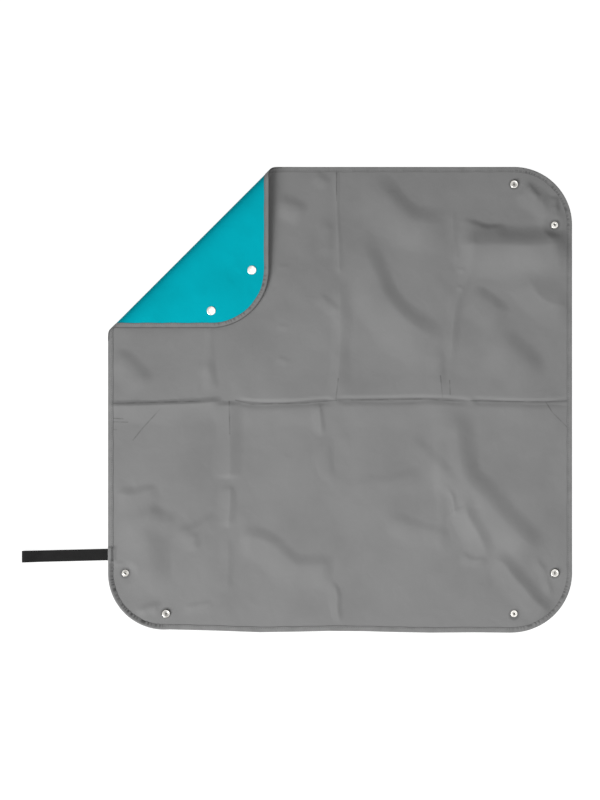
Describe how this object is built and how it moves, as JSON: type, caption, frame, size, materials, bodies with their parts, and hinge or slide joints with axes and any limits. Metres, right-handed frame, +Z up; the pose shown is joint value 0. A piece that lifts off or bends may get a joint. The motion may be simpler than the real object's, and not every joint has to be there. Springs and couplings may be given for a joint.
{
  "type": "repotting mat",
  "caption": "Square waterproof repotting mat with rounded corners, corner press studs, bound edge and webbing hanging loop, one corner turned over.",
  "frame": {"origin": "middle of the sheet's underside, on the front half beside the crease across the middle", "axes": "+X to the right and +Y to the rear of the mat lying grey side up, +Z up"},
  "size_m": [0.9483, 0.8001, 0.0196],
  "materials": {
    "teal_cloth": "smooth waterproof coating, soft sheen",
    "grey_cloth": "matt waterproof coating",
    "binding_tape": "woven tape, matt",
    "webbing": "woven polypropylene, matt",
    "nickel_brass": "nickel plated brass, bright",
    "spring_steel": "drawn wire"
  },
  "bodies": {
    "front_half": {"front_base_cloth": "teal_cloth", "front_binding": "binding_tape", "front_face_cloth": "grey_cloth", "front_left_socket": "nickel_brass", "front_left_socket_cap": "nickel_brass", "front_left_socket_spring": "spring_steel", "front_left_stud": "nickel_brass", "front_left_stud_cap": "nickel_brass", "front_right_socket": "nickel_brass", "front_right_socket_cap": "nickel_brass", "front_right_socket_spring": "spring_steel", "front_right_stud": "nickel_brass", "front_right_stud_cap": "nickel_brass"},
    "rear_half": {"bend_base_cloth": "teal_cloth", "bend_face_cloth": "grey_cloth", "bend_left_binding": "binding_tape", "bend_top_binding": "binding_tape", "rear_base_cloth": "teal_cloth", "rear_binding": "binding_tape", "rear_face_cloth": "grey_cloth", "rear_left_binding": "binding_tape", "rear_right_socket": "nickel_brass", "rear_right_socket_cap": "nickel_brass", "rear_right_socket_spring": "spring_steel", "rear_right_stud": "nickel_brass", "rear_right_stud_cap": "nickel_brass"},
    "corner_flap": {"flap_base_cloth": "teal_cloth", "flap_binding": "binding_tape", "flap_face_cloth": "grey_cloth", "flap_socket": "nickel_brass", "flap_socket_cap": "nickel_brass", "flap_socket_spring": "spring_steel", "flap_stud": "nickel_brass", "flap_stud_cap": "nickel_brass"},
    "hanging_loop": {"hanging_loop": "webbing"}
  },
  "joints": [
    {"name": "storage_fold", "type": "hinge", "parent": "front_half", "child": "rear_half", "pos_m": [0, 0.0025, 0.01478], "axis": [1, 0, 0], "range_deg": [0, 180]},
    {"name": "corner_fold", "type": "hinge", "parent": "rear_half", "child": "corner_flap", "pos_m": [-0.26109, 0.26109, 0.00972], "axis": [-0.7071, -0.7071, 0], "range_deg": [0, 186], "deforming": ["bend_base_cloth", "bend_face_cloth", "bend_left_binding", "bend_top_binding"]},
    {"name": "loop_swing", "type": "hinge", "parent": "front_half", "child": "hanging_loop", "pos_m": [-0.4003, -0.2681, 0.0021], "axis": [0, 1, 0], "range_deg": [0, 178]}
  ]
}
